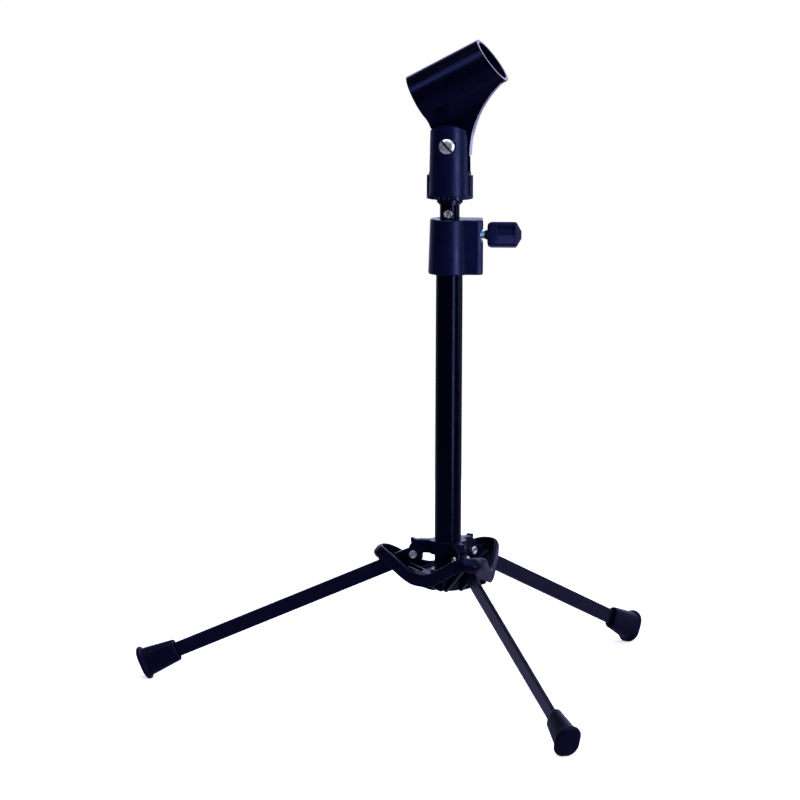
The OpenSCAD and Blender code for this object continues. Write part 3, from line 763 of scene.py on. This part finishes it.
def edge_z(x):
    """Height of the band's lower edge."""
    return EDGE_LOW + 13.2 * smooth((x - 16) / 29)


def plan_third(side_steps=14, lobe_steps=26):
    """A third of the band's plan in the frame of its lobe: x, y and the direction of the outward normal."""
    half_side = LOBE_X * math.sin(math.radians(60))
    cos60, sin60 = math.cos(math.radians(60)), math.sin(math.radians(60))
    points = []
    for i in range(side_steps):
        t = half_side * i / side_steps
        points.append((SIDE_R * cos60 + t * sin60, -SIDE_R * sin60 + t * cos60, -60))
    for i in range(lobe_steps + 1):
        a = -60 + 120 * i / lobe_steps
        points.append((LOBE_X + LOBE_R * math.cos(math.radians(a)), LOBE_R * math.sin(math.radians(a)), a))
    for x, y, a in reversed(points[1:side_steps]):
        points.append((x, -y, 60))
    return points


def band_section(x, y, a):
    """Rounded section of the band with its floor, at a point of the plan."""
    normal = Vector((math.cos(math.radians(a)), math.sin(math.radians(a)), 0))
    curl = smooth((x - LOBE_X + 1) / LOBE_R)
    rim, edge = rim_z(x), edge_z(x)
    hub = Vector((x, y, 0)).normalized() * HUB_R

    def inside(inset, z):
        return Vector((x, y, 0)) - inset * normal + z * UP

    low = EDGE_LOW + LIP
    dish = edge + LIP + FLOOR_T + 2.6 * (1 - smooth((x - 13.5) / 10))
    return rounded([(inside(EDGE_CURL * curl, edge), 0.8), (inside(0, edge + 0.45 * (rim - edge)), 2.5),
                    (inside(RIM_CURL * curl, rim), 1.1), (inside(RIM_CURL * curl + BAND_WALL, rim), 1.1),
                    (inside(BAND_WALL, dish), 1.6), (hub + (low + FLOOR_T) * UP, 0),
                    (hub + low * UP, 0), (inside(EDGE_CURL * curl + BAND_WALL, edge + LIP), 0.5)], 4)


def bar_top(x):
    """Height of the upper edge of an opened leg bar, over the distance x from the mast."""
    slope = math.radians(LEG_SLOPE)
    pivot = pivot_of("front_leg_fold")
    return pivot.z - (x - pivot.xy.length) * math.tan(slope) + BAR_HALF_HEIGHT / math.cos(slope)


def leg_slots():
    """Cutter for the slots that the leg bars swing down through."""
    mesh = bmesh.new()
    slot = [(SLOT_START, 40), (SLOT_END, 40), (SLOT_END, bar_top(SLOT_END) + SLOT_PLAY),
            (SLOT_START, bar_top(SLOT_START) + SLOT_PLAY)]
    for side in SIDES:
        prism(mesh, slot, -SLOT_HALF_W, SLOT_HALF_W, turned(leg_turn(side)))
    return as_object("slots", mesh)


def make_spider():
    """Wavy band with its floor, and under it the hub, ribs and the walls of the slots."""
    third = plan_third()
    rings = [[turned(leg_turn(side)) @ point for point in band_section(*spot)]
             for side in ("right", "left", "front") for spot in third]
    mesh = bmesh.new()
    loft(mesh, rings, around=True)
    band = as_object("spider_band", mesh)
    carve(band, leg_slots())
    shade_smooth(band)
    normals = band.modifiers.new("normals", "WEIGHTED_NORMAL")
    normals.keep_sharp = True
    place_piece(band, "black_plastic", "stand", "leg_spider")
    make_spider_walls()
    make_hub()


def make_spider_walls():
    """Webs beside each slot, a stop for the opened leg and ribs between the legs."""
    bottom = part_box("leg_spider")[0].z / MM
    web = [(8, bottom), (11, bottom), (WEB_END, 80.8), (WEB_END, 83), (8, 69.4)]
    rib_end = SIDE_R - 2
    rib = [(8, bottom), (11, bottom), (rib_end, EDGE_LOW + 0.2), (rib_end, EDGE_LOW + 1.5), (8, EDGE_LOW + 2)]
    stop = [(STOP_START, bar_top(STOP_START) + SLOT_PLAY), (STOP_END, bar_top(STOP_END) + SLOT_PLAY),
            (STOP_END, 82.4), (STOP_START, 82.4)]
    mesh = bmesh.new()
    for side in SIDES:
        place = turned(leg_turn(side))
        for y in (SLOT_HALF_W, -SLOT_HALF_W - WEB_T):
            prism(mesh, web, y, y + WEB_T, place)
        prism(mesh, stop, -STOP_HALF_W, STOP_HALF_W, place)
        for around in RIB_TURNS:
            prism(mesh, rib, -RIB_HALF_W, RIB_HALF_W, turned(leg_turn(side) + around))
    walls = as_object("spider_walls", mesh)
    soften(walls, 0.4, 3)
    place_piece(walls, "black_plastic", "stand")


def make_hub():
    """Cone and sleeve that hold the lower end of the mast."""
    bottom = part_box("leg_spider")[0].z / MM
    tube_r = (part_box("outer_tube")[1].x / MM) + TUBE_PLAY
    washer_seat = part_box("hub_washer")[1].z / MM
    tube_seat = 67.7
    sleeve_r, sleeve_top = 10.4, 75
    screw_hole_r, pocket_r = 2.15, 5.6
    cone = [(pocket_r, washer_seat), (pocket_r, bottom + 0.4), (6, bottom), (8.5, bottom),
            (9.2, bottom + 0.3), (14.6, 69.6)]
    sleeve = [(sleeve_r, 69.7), (sleeve_r, sleeve_top - 0.6), (sleeve_r - 0.5, sleeve_top), (8.5, sleeve_top),
              (tube_r, sleeve_top - 0.4)]
    floor = [(tube_r, tube_seat), (screw_hole_r, tube_seat), (screw_hole_r, washer_seat)]
    mesh = bmesh.new()
    lathe(mesh, cone + sleeve + floor, ON_MAST, 72)
    hub = as_object("spider_hub", mesh)
    carve(hub, leg_slots())
    soften(hub, 0.2, 2)
    place_piece(hub, "black_plastic", "stand")


# ---- screws, in millimetres ----

def screw_head(radius, height):
    """Profile of a domed head with its seat at 0, from its rim to the middle of the dome."""
    steps = 8
    dome = [(radius * 0.93, 0), (radius, height * 0.06), (radius, height * 0.42)]
    for k in range(1, steps + 1):
        t = math.radians(88 * k / steps)
        dome.append((radius * (0.32 + 0.68 * math.cos(t)), height * (0.42 + 0.58 * math.sin(t))))
    dome.append((radius * 0.02, height * 1.01))
    return dome


def rim_head(radius, height):
    """Profile of a flat head with a raised rim round a dished middle."""
    return [(radius * 0.93, 0), (radius, height * 0.1), (radius, height * 0.8), (radius * 0.92, height),
            (radius * 0.74, height), (radius * 0.62, height * 0.55), (radius * 0.02, height * 0.5)]


def slotted_screws(name, places, head, shank_r, shank, slot_w, slot_turn):
    """One object of slotted screws. Each place has its Z axis out of the head and its origin on the seat."""
    mesh, slots = bmesh.new(), bmesh.new()
    reach = max(r for r, _ in head) + 1
    height = max(z for _, z in head)
    shaft = [(0.02, -shank), (shank_r * 0.8, -shank), (shank_r, -shank + 0.5), (shank_r, 0)]
    slot = [(-reach, height * 0.3), (reach, height * 0.3), (reach, height + 1), (-reach, height + 1)]
    for place in places:
        lathe(mesh, shaft + head, place)
        prism(slots, slot, -slot_w / 2, slot_w / 2, place @ turned(slot_turn))
    screws = as_object(name, mesh)
    carve(screws, as_object("slots", slots))
    soften(screws, 0.07, 2, 40)
    return screws


# distance from each screw's pivot or axis to the seat of its head
TILT_SEAT = 10.6
PIVOT_SEAT = 3.5
STUD_SEAT = 6.1
# direction of the stud screw about the mast, in degrees from the front
STUD_TURN = -9


def make_screws():
    """Bright slotted screws of the clip's tilt, the leg pivots and the stud."""
    axis = Vector(JOINTS["clip_tilt"]["axis"])
    seat = out_of(pivot_of("clip_tilt") - TILT_SEAT * axis, -axis)
    screw = slotted_screws("tilt_screw_slotted", [seat], screw_head(4.8, 2.2), shank_r=2.45, shank=22,
                           slot_w=1.3, slot_turn=134)
    place_piece(screw, "nickel", "yoke", "tilt_screw")
    places = []
    for side in SIDES:
        joint = side + "_leg_fold"
        axis = Vector(JOINTS[joint]["axis"])
        out = axis if side == "left" else -axis
        places.append(out_of(pivot_of(joint) + PIVOT_SEAT * out, out))
    screws = slotted_screws("pivot_screws_slotted", places, rim_head(2.4, 1.2), shank_r=1.25, shank=9.2,
                            slot_w=0.6, slot_turn=35)
    place_piece(screws, "nickel", "stand", "leg_pivot_screws")
    low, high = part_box("stud_screw")
    middle = (low + high) / 2 / MM
    turn = math.radians(STUD_TURN)
    out = Vector((math.sin(turn), -math.cos(turn), 0))
    seat = out_of(Vector((0, 0, middle.z)) + STUD_SEAT * out, out)
    screw = slotted_screws("stud_screw_slotted", [seat], rim_head(2.6, 1.2), shank_r=1.45, shank=4.4,
                           slot_w=0.7, slot_turn=70)
    place_piece(screw, "nickel", "mast", "stud_screw")


PITCH = 0.8
THREAD_DEPTH = 0.42
PLAIN_TIP = 0.6
STEPS_PER_TURN = 8
AROUND = 32


def make_thread():
    """Clamp screw with its V thread, and a plain tip that presses on the pad."""
    low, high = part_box("knob_screw")
    start, end = low.x / MM, high.x / MM
    axis_z = (low.z + high.z) / 2 / MM
    crest = (high.z - low.z) / 2 / MM
    root = crest - THREAD_DEPTH
    count = int((end - start) / (PITCH / STEPS_PER_TURN))
    rings = []
    for i in range(count + 1):
        x = start + (end - start) * i / count
        ring = []
        for k in range(AROUND):
            phase = (x / PITCH + k / AROUND) % 1
            radius = crest - THREAD_DEPTH * abs(2 * phase - 1) if x > start + PLAIN_TIP else root
            t = 2 * math.pi * k / AROUND
            ring.append(Vector((x, radius * math.cos(t), axis_z + radius * math.sin(t))))
        rings.append(ring)
    mesh = bmesh.new()
    loft(mesh, rings)
    thread = as_object("clamp_screw_thread", mesh)
    shade_smooth(thread)
    place_piece(thread, "blue_thread", "knob", "knob_screw")


make_camera()
make_studio()
make_floor()
materials = make_materials()
dress_nodes()
make_feet()
make_collar()
make_clamp()
make_knob()
make_spider()
make_screws()
make_thread()
